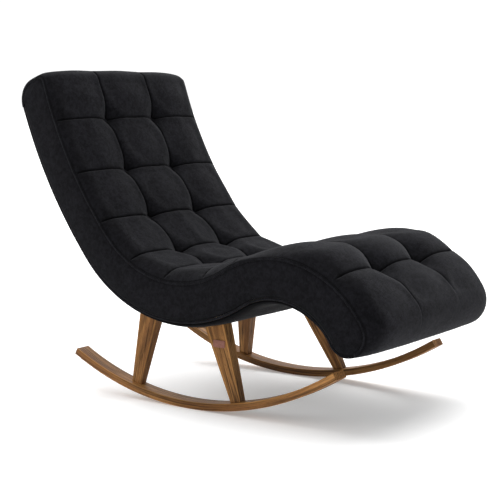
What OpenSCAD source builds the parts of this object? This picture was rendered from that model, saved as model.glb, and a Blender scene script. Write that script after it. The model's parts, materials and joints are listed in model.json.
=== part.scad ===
// Rocking armchair: an S-shaped tufted seat on four tapered legs and two bent rockers.
// Millimetres, +Z up, the sitter faces -Y. The origin is the bottom centre of the whole chair.

/* [Seat profile] */
// Width of the seat over its side seams
seat_w = 600; // [520:10:680]
// Height of the upper side seam at the lowest point of the seat hollow
hollow_h = 340; // [325:1:355]
// Place of that lowest point behind the rockers' lowest point
hollow_y = 6; // [0:1:15]
// Distance between the upper side seam and the lower piping
band_h = 106; // [98:1:112]
// Radius of the hollow, on the middle line of the side band
lumbar_r = 360; // [345:1:375]
// Sweep of the hollow from its lowest point up to the back
lumbar_back_a = 50.3; // [47:0.1:53]
// Sweep of the hollow from its lowest point up to the knee
lumbar_front_a = 30.8; // [28:0.1:33]
// Radius of the gently bowed back
back_r = 1224; // [1100:4:1400]
// Sweep of the back
back_a = 21.3; // [19:0.1:23]
// Straight length at the head
head_l = 51; // [40:1:70]
// Radius over the knee
knee_r = 246; // [235:1:260]
// Sweep over the knee down to the foot end
knee_a = 90; // [84:1:94]
// Corner radius at the front of the head
head_front_r = 14; // [8:1:20]
// Corner radius at the back of the head
head_back_r = 56; // [44:1:60]

/* [Tufted pad] */
// Thickness of the pad along its side seams
pad_edge = 6; // [4:1:9]
// Rise of the pad's pillows above the side seams
crown = 34; // [24:1:42]
// Number of sewn columns
columns = 3; // [2:1:4]
// Depth of the dimple at each tuft below its crossing seams
tuft_dip = 14; // [8:1:18]
// Distance over which a tuft's dimple fades
tuft_reach = 37; // [25:1:50]
// Distance over which a pillow rises from a row seam
pillow_reach = 70; // [50:1:90]
// Share of the crown that stays along a row seam
row_keep = 0.62; // [0.4:0.02:0.8]
// Share of the crown that stays along a column seam
column_keep = 0.5; // [0.4:0.02:0.8]
// Length of skin at the head's back seam before the pillows start to grow
head_start = 45; // [30:5:90]
// Length of skin at the head's back seam where the pillows are full
head_full = 195; // [150:5:270]
// Length of skin at the foot's seam before the pillows start to grow
foot_start = 45; // [30:5:60]
// Length of skin at the foot's seam where the pillows are full
foot_full = 160; // [120:5:220]
// Length below the last row over which the columns fade
column_fade = 150; // [90:5:200]
// Rise of the back panel
back_crown = 13; // [8:1:16]
// Rise of the back panel and of the pad at the foot's seam
foot_crown = 2; // [1:0.5:6]
// Length over which the back panel thins towards the foot
foot_taper = 150; // [90:10:220]
// Thickness of the back panel
back_t = 3; // [2:0.5:5]

/* [Seat frame] */
// Thickness of a side rib across the seat
rib_w = 24; // [20:1:30]
// Height of a side rib above the middle line
rib_top = 12; // [8:1:16]
// Thickness of the upholstered border outside a rib
border_t = 7.7; // [6:0.1:10]
// Width of a cross rail along the seat
rail_w = 50; // [40:1:60]
// Thickness of a cross rail
rail_t = 18; // [16:1:24]
// Width of the stout rail at the foot
foot_rail_w = 50; // [50:1:80]
// Thickness of the stout rail at the foot
foot_rail_t = 22; // [22:1:52]
// Width of a seat bearer
bearer_w = 60; // [50:1:70]
// Thickness of a seat bearer
bearer_t = 42; // [36:1:44]
// How far a bearer stands proud of the back panel
bearer_proud = 2; // [1:0.5:5]
// Place of the front bearer on the hollow
bearer_front_a = -9.5; // [-13:0.1:-7]
// Place of the rear bearer on the hollow
bearer_rear_a = 20.9; // [18:0.1:25]
// Width of a webbing strap
strap_w = 50; // [40:1:60]
// Thickness of a webbing strap
strap_t = 2; // [1:0.5:3]
// Distance between webbing straps
strap_step = 84; // [75:1:120]
// Side of a corner block
block_w = 40; // [30:1:50]
// Distance of the head rail from the end of the band
head_rail_gap = 6; // [4:1:12]
// Distance of the back rail above the end of the hollow
back_rail_up = 190; // [160:5:230]
// Distance of the lumbar rail below the end of the hollow
lumbar_rail_down = 40; // [25:5:60]
// Distance of the knee rail beyond the start of the knee
knee_rail_down = 60; // [45:5:75]
// Distance of the first strap from the foot
strap_gap = 8; // [5:1:15]

/* [Rockers] */
// Radius of the rockers' soles
rocker_r = 880; // [820:5:950]
// Width of a rocker
rocker_w = 47; // [40:1:55]
// Thickness of a rocker
rocker_t = 20; // [18:1:26]
// Distance of a rocker's middle line inside the seat's side seam
rocker_inset = 53.6; // [45:0.2:62]
// Sweep of a rocker in front of its lowest point
rocker_front_a = 32; // [28:0.5:35]
// Sweep of a rocker behind its lowest point
rocker_rear_a = 27.5; // [24:0.5:31]
// Rounding of a rocker's long edges
rocker_edge = 3; // [2:0.5:5]
// Length of the flat under the balance point, where a rocker rests
sole_flat = 24; // [16:1:36]

/* [Legs] */
// Place of a front leg's foot in front of the rockers' lowest point
leg_front_y = 149; // [135:1:165]
// Place of a rear leg's foot behind the rockers' lowest point
leg_rear_y = 191; // [175:1:205]
// Distance of a leg's foot inside the rocker's middle line
leg_inset = 4; // [0:1:8]
// Distance of a leg's top inside its foot
leg_splay = 29; // [20:1:38]
// Depth of a leg at its foot
foot_d = 30; // [26:1:36]
// Width of a leg at its foot
foot_w = 22; // [20:1:30]
// Depth of a leg at its top
top_d = 60; // [46:1:64]
// Width of a leg at its top
top_w = 34; // [30:1:42]

/* [Fasteners and trim] */
// Diameter of a leg stud
stud_d = 8; // [6:1:10]
// Length of a leg stud inside the leg
stud_l = 45; // [30:1:60]
// Diameter of a rocker screw's shank
sole_screw_d = 6; // [4:0.5:8]
// Length of a rocker screw
sole_screw_l = 58; // [45:1:70]
// Diameter of a rocker screw's head
sole_head_d = 11; // [9:0.5:14]
// Depth of a rocker screw's recess
sole_recess = 7; // [5:0.5:9]
// Diameter of a rib screw's shank
rib_screw_d = 5; // [4:0.5:6]
// Length of a rib screw
rib_screw_l = 60; // [45:1:70]
// Diameter of a rib screw's head
rib_head_d = 10; // [8:0.5:11]
// Diameter of the piping
piping_d = 6; // [4:0.5:7]
// Width of the lapped upper seam
lap_w = 8; // [6:0.5:10]
// Thickness of the lapped upper seam
lap_t = 1.2; // [0.8:0.1:2]
// Length of the leather tag
tag_l = 38; // [30:1:42]
// Height of the leather tag
tag_h = 19; // [15:1:24]
// Thickness of the leather tag
tag_t = 2; // [1.5:0.1:3]
// Height of the leather tag's middle above the floor
tag_z = 176; // [150:1:190]

/* [Hidden] */

// Clearance between two pieces that meet
gap = 0.3;
// Longest chord that stands in for a profile arc
chord = 16;
deg = 180 / PI;
$fn = 64;
// Finer count for the long profile arcs
arc_fn = 360;

// Colours
wood_colour = "#7d5532";
pale_wood_colour = "#c9a877";
cover_colour = "#26272b";
foam_colour = "#e6dcc0";
web_colour = "#4a4640";
steel_colour = "#b4b8bc";
tag_colour = "#916458";

// Layers of the side band, as distances from its middle line
half = band_h / 2;
pad_in = half - pad_edge;
cover_in = half - piping_d / 2;
foam_in = rib_top + strap_t + 2 * gap;
cover_out = cover_in + pad_edge + back_crown;
bearer_out = cover_out + bearer_proud;

// Layers across the seat
side_x = seat_w / 2;
rib_out = side_x - border_t - gap;
rib_in = rib_out - rib_w;

// Stations along the middle line: zero at the lowest point of the hollow, positive towards the head
s_lumbar = lumbar_r * lumbar_back_a / deg;
s_back = s_lumbar + back_r * back_a / deg;
s_head = s_back + head_l;
s_knee = -lumbar_r * lumbar_front_a / deg;
s_foot = s_knee - knee_r * knee_a / deg;
head_a = lumbar_back_a + back_a;
foot_a = knee_a - lumbar_front_a;

// Row seams of the pad, as shares of the middle line from the foot to the head
row_shares = [0.902, 0.783, 0.667, 0.551, 0.447, 0.335, 0.254, 0.078];
rows = [for (k = row_shares) s_foot + k * (s_head - s_foot)];

// Centres of the profile arcs, as [y, z]
lumbar_c = [hollow_y, hollow_h - half + lumbar_r];
back_c = lumbar_c + (back_r - lumbar_r) * [-sin(lumbar_back_a), cos(lumbar_back_a)];
knee_c = lumbar_c + (lumbar_r + knee_r) * [-sin(lumbar_front_a), -cos(lumbar_front_a)];

// Slope of the middle line at a station, in degrees above level towards the head
function slope(s) =
    s < s_knee ? -lumbar_front_a + (s_knee - s) / knee_r * deg :
    s <= s_lumbar ? s / lumbar_r * deg :
    s <= s_back ? lumbar_back_a + (s - s_lumbar) / back_r * deg : head_a;
// Direction towards the sitter's side at a slope, and along the seat towards the head
function up(a) = [-sin(a), cos(a)];
function along(a) = [cos(a), sin(a)];
// Point of the profile at a station and at a distance above the middle line
function at(s, o) =
    s < s_knee ? knee_c + (knee_r + o) * up(slope(s)) :
    s <= s_lumbar ? lumbar_c - (lumbar_r - o) * up(slope(s)) :
    s <= s_back ? back_c - (back_r - o) * up(slope(s)) :
    back_c - (back_r - o) * up(head_a) + (s - s_back) * along(head_a);

// Centres of the rounded ends
foot_r = (pad_in + cover_in) / 2;
foot_c = at(s_foot, (pad_in - cover_in) / 2);
head_front_c = at(s_head - head_front_r, pad_in - head_front_r);
head_back_c = at(s_head - head_back_r, head_back_r - cover_in);

// Skin frames round the side band, each [base y, base z, direction y, direction z]
function frame_at(s, o, side) =
    let (p = at(s, o), d = side * up(slope(s))) [p[0], p[1], d[0], d[1]];
function turn(c, r, e, n, phi) =
    let (d = cos(phi) * e + sin(phi) * n, p = c + r * d) [p[0], p[1], d[0], d[1]];
function arc_frames(c, r, e, n, a0, a1, steps, first = 0) =
    [for (i = [first : steps]) turn(c, r, e, n, a0 + (a1 - a0) * i / steps)];
head_e = along(head_a);
foot_e = -along(foot_a);
function head_back_frames(steps) = arc_frames(head_back_c, head_back_r, head_e, up(head_a), -90, 0, steps);
function head_front_frames(steps) =
    [for (i = [0 : steps - 1]) turn(head_front_c, head_front_r, head_e, up(head_a), 90 * i / steps)];
function foot_frames(steps) = arc_frames(foot_c, foot_r, foot_e, up(foot_a), 90, -90, steps, 1);

// The pad's rings, closer together beside the row seams
foot_rings = 8;
short_steps = [0, 0.16, 0.5, 0.84];
long_steps = [0, 0.1, 0.26, 0.42, 0.58, 0.74, 0.9];
long_cell = 200;
cell_ends = concat([s_head - head_front_r], rows, [s_foot]);
top_stations = concat(
    [for (c = [0 : len(cell_ends) - 2])
        let (l = cell_ends[c] - cell_ends[c + 1]) for (t = l > long_cell ? long_steps : short_steps)
            cell_ends[c] - t * l],
    [s_foot]);
frames = concat(head_back_frames(4), head_front_frames(2),
    [for (s = top_stations) frame_at(s, pad_in, 1)], foot_frames(foot_rings));

// Closer frames for the outline of the side band, with the same points among them
function split(list) = concat(
    [for (i = [0 : len(list) - 2])
        let (n = ceil(abs(list[i + 1] - list[i]) / chord)) for (k = [0 : n - 1])
            list[i] + (list[i + 1] - list[i]) * k / n],
    [list[len(list) - 1]]);
band_end = s_head - head_back_r;
top_edge = split(top_stations);
back_edge = split([s_foot, s_knee, 0, s_lumbar, band_end]);
head_frames = concat(head_back_frames(8), head_front_frames(4));
seam_frames = concat(head_frames, [for (s = top_edge) frame_at(s, pad_in, 1)], foot_frames(16));
outline_frames = concat(seam_frames,
    [for (i = [1 : len(back_edge) - 2]) frame_at(back_edge[i], -cover_in, -1)]);
function inset(list, g) = [for (f = list) [f[0] - g * f[2], f[1] - g * f[3]]];

// Length along the skin at each frame
skin_t = [for (i = 0, t = 0; i < len(frames);
    t = t + (i + 1 < len(frames) ? norm([frames[i + 1][0] - frames[i][0], frames[i + 1][1] - frames[i][1]]) : 0),
    i = i + 1) t];
row_t = [for (i = [0 : len(top_stations) - 1], r = rows) if (top_stations[i] == r)
    skin_t[len(frames) - foot_rings - len(top_stations) + i]];
skin_end = skin_t[len(frames) - 1];

// Stations across the pad: a few per column, closer together beside the seams
column_w = seat_w / columns;
column_steps = [0, 0.1, 0.28, 0.5, 0.72, 0.9];
pad_xs = concat([for (c = [0 : columns - 1], t = column_steps) -side_x + column_w * (c + t)], [side_x]);
column_seams = [for (c = [1 : columns - 1]) -side_x + column_w * c];

// A pillow rises from a seam like a quarter wave
function rise(d, reach) = pow(sin(90 * min(1, max(0, d) / reach)), 0.6);
function nearest(v, list) = min([for (q = list) abs(v - q)]);
function edge_rise(x) = 1 - pow(abs(x) / side_x, 7);
function smooth(lo, hi, v) = let (k = min(1, max(0, (v - lo) / (hi - lo)))) k * k * (3 - 2 * k);
function head_fade(t) = smooth(head_start, head_full, t);
function foot_fade(t) = smooth(foot_start, foot_full, skin_end - t);
last_row_t = row_t[len(row_t) - 1];
// Height of the pad above its sewn edge
function pad_height(x, t) =
    let (dr = nearest(t, row_t),
         dc = nearest(x, column_seams),
         pr = row_keep + (1 - row_keep) * rise(dr, pillow_reach),
         column_share = (1 - column_keep) * head_fade(t) * (1 - smooth(0, column_fade, t - last_row_t)),
         pc = 1 - column_share * (1 - rise(dc, column_w / 2)),
         dip = tuft_dip * exp(-(dr * dr + dc * dc) / pow(tuft_reach, 2)),
         full = crown * pr * pc - dip,
         base = t < skin_end / 2 ? back_crown : foot_crown,
         f = head_fade(t) * foot_fade(t))
    edge_rise(x) * (base * (1 - f) + full * f);

// Rise of a chord's middle above its arc where the skin is convex, and so how far a ring's inner edge stands off
function sagitta(f, g) =
    let (c = norm([g[0] - f[0], g[1] - f[1]]), turned = asin(f[2] * g[3] - f[3] * g[2]))
    max(0, c / 2 * tan(turned / 4));
chord_margin = 1.3;
function stand_off(i) = chord_margin * max(
    i > 0 ? sagitta(frames[i - 1], frames[i]) : 0,
    i < len(frames) - 1 ? sagitta(frames[i], frames[i + 1]) : 0);

// Points of the pad: outer skin first, then a plain inner face that clears the side band
function skin_point(f, x, g) = [x, f[0] + g * f[2], f[1] + g * f[3]];
nx = len(pad_xs);
nf = len(frames);
pad_points = concat(
    [for (i = [0 : nf - 1], x = pad_xs) skin_point(frames[i], x, pad_edge + pad_height(x, skin_t[i]))],
    [for (i = [0 : nf - 1], x = [-side_x, side_x]) skin_point(frames[i], x, stand_off(i))]);
// Faces of a strip of rings, each with m outer points, and two inner points in a list after them
function strip_faces(n, m) =
    let (inner = n * m, last = (n - 1) * m, end = inner + 2 * n)
    concat(
        [for (i = [0 : n - 2], j = [0 : m - 2], k = [0, 1]) let (a = i * m + j)
            k == 0 ? [a, a + 1, a + m] : [a + 1, a + m + 1, a + m]],
        [for (i = [0 : n - 2], k = [0, 1]) let (a = inner + 2 * i)
            k == 0 ? [a, a + 2, a + 1] : [a + 1, a + 2, a + 3]],
        [for (i = [0 : n - 2], k = [0, 1]) let (a = i * m, b = inner + 2 * i)
            k == 0 ? [a, a + m, b] : [a + m, b + 2, b]],
        [for (i = [0 : n - 2], k = [0, 1]) let (a = i * m + m - 1, b = inner + 2 * i + 1)
            k == 0 ? [a, b, a + m] : [a + m, b, b + 2]],
        [for (j = [0 : m - 2]) [j + 1, j, inner]],
        [[m - 1, inner, inner + 1]],
        [for (j = [0 : m - 2]) [last + j, last + j + 1, end - 2]],
        [[inner - 1, end - 1, end - 2]]);

// Points of the back panel, a strip that bulges away from the frame, drawn in by a wall
back_end_gap = 1;
inner_depth = 5;
back_s0 = s_foot + back_end_gap;
back_s1 = band_end - back_end_gap;
back_steps = 36;
back_x = side_x - piping_d - 2 * gap;
back_xs = [-1, -0.985, -0.94, -0.84, -0.6, -0.3, 0, 0.3, 0.6, 0.84, 0.94, 0.985, 1];
function back_out(x, s) =
    let (rise = foot_crown + (back_crown - foot_crown) * smooth(0, foot_taper, s - s_foot))
    cover_in + pad_edge + rise * sqrt(1 - pow(abs(x), 12));
function back_ring(i, wall) =
    let (a = back_s0 + wall, b = back_s1 - wall) a + (b - a) * i / back_steps;
function back_points(wall) = concat(
    [for (i = [0 : back_steps], x = back_xs)
        let (s = back_ring(i, wall), p = at(s, wall - back_out(x, s))) [x * (back_x - wall), p[0], p[1]]],
    [for (i = [0 : back_steps], x = [-1, 1])
        let (p = at(back_ring(i, wall), inner_depth + wall - cover_in)) [x * (back_x - wall), p[0], p[1]]]);

// The origin lies under the middle of the chair's length
y_front = min([for (p = pad_points) p[1]]);
y_rear = max([for (p = concat(pad_points, back_points(0))) p[1]]);
y_mid = (y_front + y_rear) / 2;

// Bearers, rails and straps
bearer_front_s = lumbar_r * bearer_front_a / deg;
bearer_rear_s = lumbar_r * bearer_rear_a / deg;
rail_lift = 5;
rail_lo = -half + rail_lift;
foot_rail_gap = 2;
// Rails between the ribs, each [station, thickness, width], from the head down to the foot
rails = [[band_end - rail_w / 2 - head_rail_gap, rail_t, rail_w],
         [s_lumbar + back_rail_up, rail_t, rail_w],
         [s_lumbar - lumbar_rail_down, rail_t, rail_w],
         [s_knee - knee_rail_down, rail_t, rail_w],
         [s_foot + (foot_rail_w / 2 + foot_rail_gap) * knee_r / (knee_r - half), foot_rail_t, foot_rail_w]];
strap_first = s_foot + strap_w / 2 + strap_gap;
strap_last = band_end - strap_w / 2;
strap_count = floor((strap_last - strap_first) / strap_step) + 1;

// Feet and tops of the legs, as [y, z]
sole_c = [0, rocker_r];
rocker_spacing = seat_w - 2 * rocker_inset;
rocker_top_r = rocker_r - rocker_t;
function foot_point(y) = [y, rocker_r - sqrt(rocker_top_r * rocker_top_r - y * y)];
foot_x = rocker_spacing / 2 - leg_inset;
sole_flat_h = rocker_r - sqrt(rocker_r * rocker_r - sole_flat * sole_flat / 4);
top_x = foot_x - leg_splay;

// Places a piece with the rockers' lowest point over the origin's line into the chair's frame
module seat_frame() {
    translate([0, -y_mid, 0]) children();
}

// Stands a drawing made in Y and Z up and gives it a width along X
module across(x0, x1) {
    translate([x0, 0, 0]) rotate([90, 0, 90]) linear_extrude(x1 - x0) children();
}

// Part of the side band between two distances from its middle line and two stations
module run(lo, hi, x0, x1, s0, s1) {
    inner = [for (s = back_edge) if (s > s0 + 1 && s < s1 - 1) s];
    list = concat([s0], inner, [s1]);
    across(x0, x1) polygon(concat(
        [for (s = list) at(s, lo)],
        [for (i = [len(list) - 1 : -1 : 0]) at(list[i], hi)]));
}

// Frame at a station of the middle line: X across, Y along the seat towards the head, Z to the sitter
module station(s) {
    p = at(s, 0);
    translate([0, p[0], p[1]]) rotate([slope(s), 0, 0]) children();
}

// Whole outline of the side band, drawn in by a slack
module outline(slack) {
    polygon(inset(outline_frames, slack));
}

// Rounded rectangle, centred on X and standing on Y = 0
module rounded_bar(w, h, r) {
    translate([-w / 2 + r, 0]) square([w - 2 * r, h]);
    translate([-w / 2, r]) square([w, h - 2 * r]);
    for (x = [-w / 2 + r, w / 2 - r], y = [r, h - r]) translate([x, y]) circle(r = r, $fn = 32);
}

// Bent rocker with a screw recess under each leg and a short flat that it rests on
module rocker(side) {
    color(wood_colour) seat_frame() difference() {
        translate([side * rocker_spacing / 2, sole_c[0], sole_c[1]]) rotate([90, 0, 90])
            rotate([0, 0, -90 - rocker_front_a])
                rotate_extrude(angle = rocker_front_a + rocker_rear_a, $fn = arc_fn)
                    translate([rocker_r, 0]) rotate(90) rounded_bar(rocker_w, rocker_t, rocker_edge);
        for (y = [-leg_front_y, leg_rear_y]) sole_axis(side, y) sole_bore();
        translate([side * rocker_spacing / 2 - rocker_w, -sole_flat, -rocker_t])
            cube([2 * rocker_w, 2 * sole_flat, rocker_t + sole_flat_h]);
    }
}

// Axis of the screw under a leg: Z points from the sole up into the leg
module sole_axis(side, y) {
    turn_a = asin(y / rocker_top_r);
    translate([side * foot_x, sole_c[0], sole_c[1]]) rotate([turn_a, 0, 0]) translate([0, 0, -rocker_r])
        children();
}

module sole_bore() {
    translate([0, 0, -1]) cylinder(d = sole_head_d + 2 * gap, h = sole_recess + 1);
    cylinder(d = sole_screw_d + 2 * gap, h = sole_recess + sole_screw_l + gap);
}

module sole_screw() {
    head_h = sole_head_d * 0.36;
    translate([0, 0, sole_recess - head_h - gap]) difference() {
        cylinder(d = sole_head_d, h = head_h);
        translate([0, 0, -1]) cylinder(d = sole_head_d * 0.42, h = head_h * 0.6 + 1, $fn = 6);
    }
    translate([0, 0, sole_recess - gap]) cylinder(d = sole_screw_d, h = sole_screw_l - head_h);
}

module sole_screws(side) {
    color(steel_colour) seat_frame() for (y = [-leg_front_y, leg_rear_y]) sole_axis(side, y) sole_screw();
}

// Four-sided outline that tapers along a line, carried past both ends
module taper(p0, p1, w0, w1) {
    d = (p1 - p0) / norm(p1 - p0);
    n = [d[1], -d[0]];
    over = 0.35;
    q0 = p0 - over * (p1 - p0);
    q1 = p1 + over * (p1 - p0);
    v0 = w0 - over * (w1 - w0);
    v1 = w1 + over * (w1 - w0);
    polygon([q0 - n * v0 / 2, q0 + n * v0 / 2, q1 + n * v1 / 2, q1 - n * v1 / 2]);
}

// Tapered leg, coped to the rocker below and cut flush with the bearer above
module leg(side, foot_y, bearer_s) {
    foot = foot_point(foot_y);
    head = at(bearer_s, -bearer_out);
    color(wood_colour) seat_frame() difference() {
        intersection() {
            across(-side_x, side_x) taper(foot, head, foot_d, top_d);
            translate([0, rocker_r, 0]) rotate([90, 0, 0]) linear_extrude(2 * rocker_r)
                taper([side * foot_x, foot[1]], [side * top_x, head[1]], foot_w, top_w);
            station(bearer_s) translate([-side_x, -rocker_r, -bearer_out - rocker_r])
                cube([seat_w, 2 * rocker_r, rocker_r]);
            translate([-side_x, sole_c[0], sole_c[1]]) rotate([0, 90, 0])
                cylinder(r = rocker_top_r - gap, h = seat_w, $fn = arc_fn);
        }
        sole_axis(side, foot_y) sole_bore();
        stud_axis(side, bearer_s) stud_bore();
    }
}

// Axis of a leg stud: Z points up, with zero on the bearer's lower face
module stud_axis(side, bearer_s) {
    station(bearer_s) translate([side * top_x, 0, -bearer_out]) children();
}

nut_h = stud_d * 0.8;
washer_h = 1.6;
module stud_bore() {
    translate([0, 0, -stud_l - gap]) cylinder(d = stud_d + 2 * gap, h = stud_l + bearer_t + 2 * gap + 1);
}

module stud() {
    translate([0, 0, -stud_l]) cylinder(d = stud_d, h = stud_l + bearer_t + washer_h + nut_h + 3);
    translate([0, 0, bearer_t + gap]) cylinder(d = stud_d * 2.2, h = washer_h);
    translate([0, 0, bearer_t + gap + washer_h]) cylinder(d = stud_d * 1.9, h = nut_h, $fn = 6);
}

module leg_studs(side) {
    color(steel_colour) seat_frame() for (s = [bearer_front_s, bearer_rear_s]) stud_axis(side, s) stud();
}

// Screws through a rib into the end of a cross piece, each [station, place along the seat, height]
function rib_screw_spots() = concat(
    [for (r = rails, k = [-1, 1]) [r[0], k * r[2] / 4, rail_lo + r[1] / 2]],
    [for (s = [bearer_front_s, bearer_rear_s], k = [-1, 1])
        [s, k * bearer_w / 4, -bearer_out + bearer_t - rail_t / 2]]);

module rib_screw_axis(side, spot) {
    station(spot[0]) translate([side * rib_out, spot[1], spot[2]]) rotate([0, -90 * side, 0]) children();
}

rib_head_h = rib_head_d * 0.35;
module rib_screw_bore() {
    translate([0, 0, -1]) cylinder(d = rib_head_d + 2 * gap, h = rib_head_h + 1 + 2 * gap);
    cylinder(d = rib_screw_d + 2 * gap, h = rib_screw_l + 2 * gap);
}

module rib_screw() {
    translate([0, 0, gap]) cylinder(d = rib_head_d, h = rib_head_h);
    translate([0, 0, gap + rib_head_h]) cylinder(d = rib_screw_d, h = rib_screw_l - rib_head_h);
}

module rib_screws(side) {
    color(steel_colour) seat_frame() for (spot = rib_screw_spots()) rib_screw_axis(side, spot) rib_screw();
}

// S-shaped side rib
module rib(side) {
    x0 = side > 0 ? rib_in : -rib_out;
    color(pale_wood_colour) seat_frame() difference() {
        run(rail_lo, rib_top, x0, x0 + rib_w, s_foot + gap, band_end - gap);
        for (spot = rib_screw_spots()) rib_screw_axis(side, spot) rib_screw_bore();
    }
}

// Cross piece between the ribs, centred on a station
module cross_piece(s, lo, t, w) {
    difference() {
        station(s) translate([-rib_in + gap, -w / 2, lo]) cube([2 * (rib_in - gap), w, t]);
        for (side = [-1, 1], spot = rib_screw_spots()) if (spot[0] == s)
            rib_screw_axis(side, spot) rib_screw_bore();
    }
}

module rail(i) {
    color(pale_wood_colour) seat_frame() cross_piece(rails[i][0], rail_lo, rails[i][1], rails[i][2]);
}

// Seat bearer, which carries the tops of two legs
module bearer(s) {
    color(wood_colour) seat_frame() difference() {
        cross_piece(s, -bearer_out, bearer_t, bearer_w);
        for (side = [-1, 1]) stud_axis(side, s) stud_bore();
    }
}

// Triangular glue block in the corner between a bearer and a rib
module corner_block(side, s, facing) {
    color(pale_wood_colour) seat_frame() station(s)
        translate([side * (rib_in - gap), facing * (bearer_w / 2 + gap), rail_lo])
            linear_extrude(rail_t) polygon([[0, 0], [-side * block_w, 0], [0, facing * block_w]]);
}

module webbing() {
    color(web_colour) seat_frame() for (i = [0 : strap_count - 1]) {
        s = strap_first + i * strap_step;
        run(rib_top + gap, rib_top + gap + strap_t, -rib_out, rib_out, s - strap_w / 2, s + strap_w / 2);
    }
}

module foam_core() {
    color(foam_colour) seat_frame() run(foam_in, pad_in - gap, -rib_out, rib_out, s_foot + gap, band_end - gap);
}

// Filling between the ribs under the knee and the calves, notched over the rails
module calf_filling() {
    top_s = bearer_front_s - bearer_w / 2 - block_w - rail_w / 2;
    color(foam_colour) seat_frame() difference() {
        run(rail_lo + rail_t, rib_top, gap - rib_in, rib_in - gap, rails[4][0], top_s);
        for (r = [rails[3], rails[4]]) station(r[0])
            translate([-rib_in, -r[2] / 2 - gap, -band_h]) cube([2 * rib_in, r[2] + 2 * gap, band_h + rail_lo + r[1] + gap]);
    }
}

module head_roll() {
    color(foam_colour) seat_frame() across(-rib_out, rib_out)
        polygon(concat(inset(head_frames, gap), [at(band_end, pad_in - gap)]));
}

module foot_roll() {
    color(foam_colour) seat_frame() across(-rib_out, rib_out)
        polygon(concat([at(s_foot, pad_in - gap)], inset(foot_frames(16), gap)));
}

module quilted_pad() {
    color(cover_colour) seat_frame() polyhedron(pad_points, strip_faces(nf, nx));
}

// Side border of the cover, from the upper seam down to the piping
module border(side) {
    x0 = side > 0 ? side_x - border_t : -side_x;
    color(cover_colour) seat_frame() across(x0, x0 + border_t) outline(gap);
}

// Back panel, drawn over the frame like a shallow tray, with a window for each bearer
module back_cover() {
    faces = strip_faces(back_steps + 1, len(back_xs));
    color(cover_colour) seat_frame() difference() {
        polyhedron(back_points(0), faces);
        polyhedron(back_points(back_t), faces);
        across(-seat_w, seat_w) outline(-gap);
        for (s = [bearer_front_s, bearer_rear_s]) station(s)
            translate([-rib_in, -bearer_w / 2 - gap, -band_h]) cube([2 * rib_in, bearer_w + 2 * gap, band_h]);
    }
}

// Round piping along the lower seam, one ring of points per station
piping_rings = 64;
piping_sides = 8;
function piping_points(side) =
    let (r = piping_d / 2, x = side * (side_x - r - gap))
    [for (i = [0 : piping_rings], k = [0 : piping_sides - 1])
        let (s = back_s0 + (back_s1 - back_s0) * i / piping_rings,
             phi = 360 * (k + 0.5) / piping_sides,
             p = at(s, -half + r * sin(phi)))
        [x + r * cos(phi), p[0], p[1]]];
piping_faces = concat(
    [for (i = [0 : piping_rings - 1], k = [0 : piping_sides - 1], h = [0, 1])
        let (a = i * piping_sides + k, b = i * piping_sides + (k + 1) % piping_sides, n = piping_sides)
        h == 0 ? [a, a + n, b] : [b, a + n, b + n]],
    [[for (k = [0 : piping_sides - 1]) k]],
    [[for (k = [piping_sides - 1 : -1 : 0]) piping_rings * piping_sides + k]]);

module piping(side) {
    color(cover_colour) seat_frame() polyhedron(piping_points(side), piping_faces);
}

// Lapped and twice stitched seam along the upper edge of a border, from the head round to the foot
module lap_seam(side) {
    x0 = side > 0 ? side_x + gap : -side_x - gap - lap_t;
    list = [for (i = [0 : len(seam_frames) - 9]) seam_frames[i]];
    back = [for (i = [len(list) - 1 : -1 : 0]) list[i]];
    color(cover_colour) seat_frame() across(x0, x0 + lap_t)
        polygon(concat(inset(list, -lap_w / 2), inset(back, lap_w / 2)));
}

// Leather tag on the outer face of the right front leg
module leg_tag() {
    foot = foot_point(-leg_front_y);
    head = at(bearer_front_s, -bearer_out);
    k = (tag_z - foot[1]) / (head[1] - foot[1]);
    y = foot[0] + k * (head[0] - foot[0]);
    x = foot_x + k * (top_x - foot_x) + (foot_w + k * (top_w - foot_w)) / 2;
    lean = atan((leg_splay - (top_w - foot_w) / 2) / (head[1] - foot[1]));
    color(tag_colour) seat_frame() translate([-x, y, tag_z]) rotate([0, lean, 0])
        translate([-tag_t - 2 * gap, -tag_l / 2, -tag_h / 2]) cube([tag_t, tag_l, tag_h]);
}

rocker(1);  // rocker_left
rocker(-1);  // rocker_right
leg(1, -leg_front_y, bearer_front_s);  // leg_front_left
leg(-1, -leg_front_y, bearer_front_s);  // leg_front_right
leg(1, leg_rear_y, bearer_rear_s);  // leg_rear_left
leg(-1, leg_rear_y, bearer_rear_s);  // leg_rear_right
bearer(bearer_front_s);  // bearer_front
bearer(bearer_rear_s);  // bearer_rear
rib(1);  // rib_left
rib(-1);  // rib_right
rail(0);  // head_rail
rail(1);  // back_rail
rail(2);  // lumbar_rail
rail(3);  // knee_rail
rail(4);  // foot_rail
corner_block(1, bearer_front_s, -1);  // block_front_left
corner_block(-1, bearer_front_s, -1);  // block_front_right
corner_block(1, bearer_rear_s, 1);  // block_rear_left
corner_block(-1, bearer_rear_s, 1);  // block_rear_right
webbing();
foam_core();
calf_filling();
head_roll();
foot_roll();
quilted_pad();
border(1);  // border_left
border(-1);  // border_right
back_cover();
piping(1);  // piping_left
piping(-1);  // piping_right
lap_seam(1);  // lap_seam_left
lap_seam(-1);  // lap_seam_right
leg_studs(1);  // leg_studs_left
leg_studs(-1);  // leg_studs_right
sole_screws(1);  // sole_screws_left
sole_screws(-1);  // sole_screws_right
rib_screws(1);  // rib_screws_left
rib_screws(-1);  // rib_screws_right
leg_tag();
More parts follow.
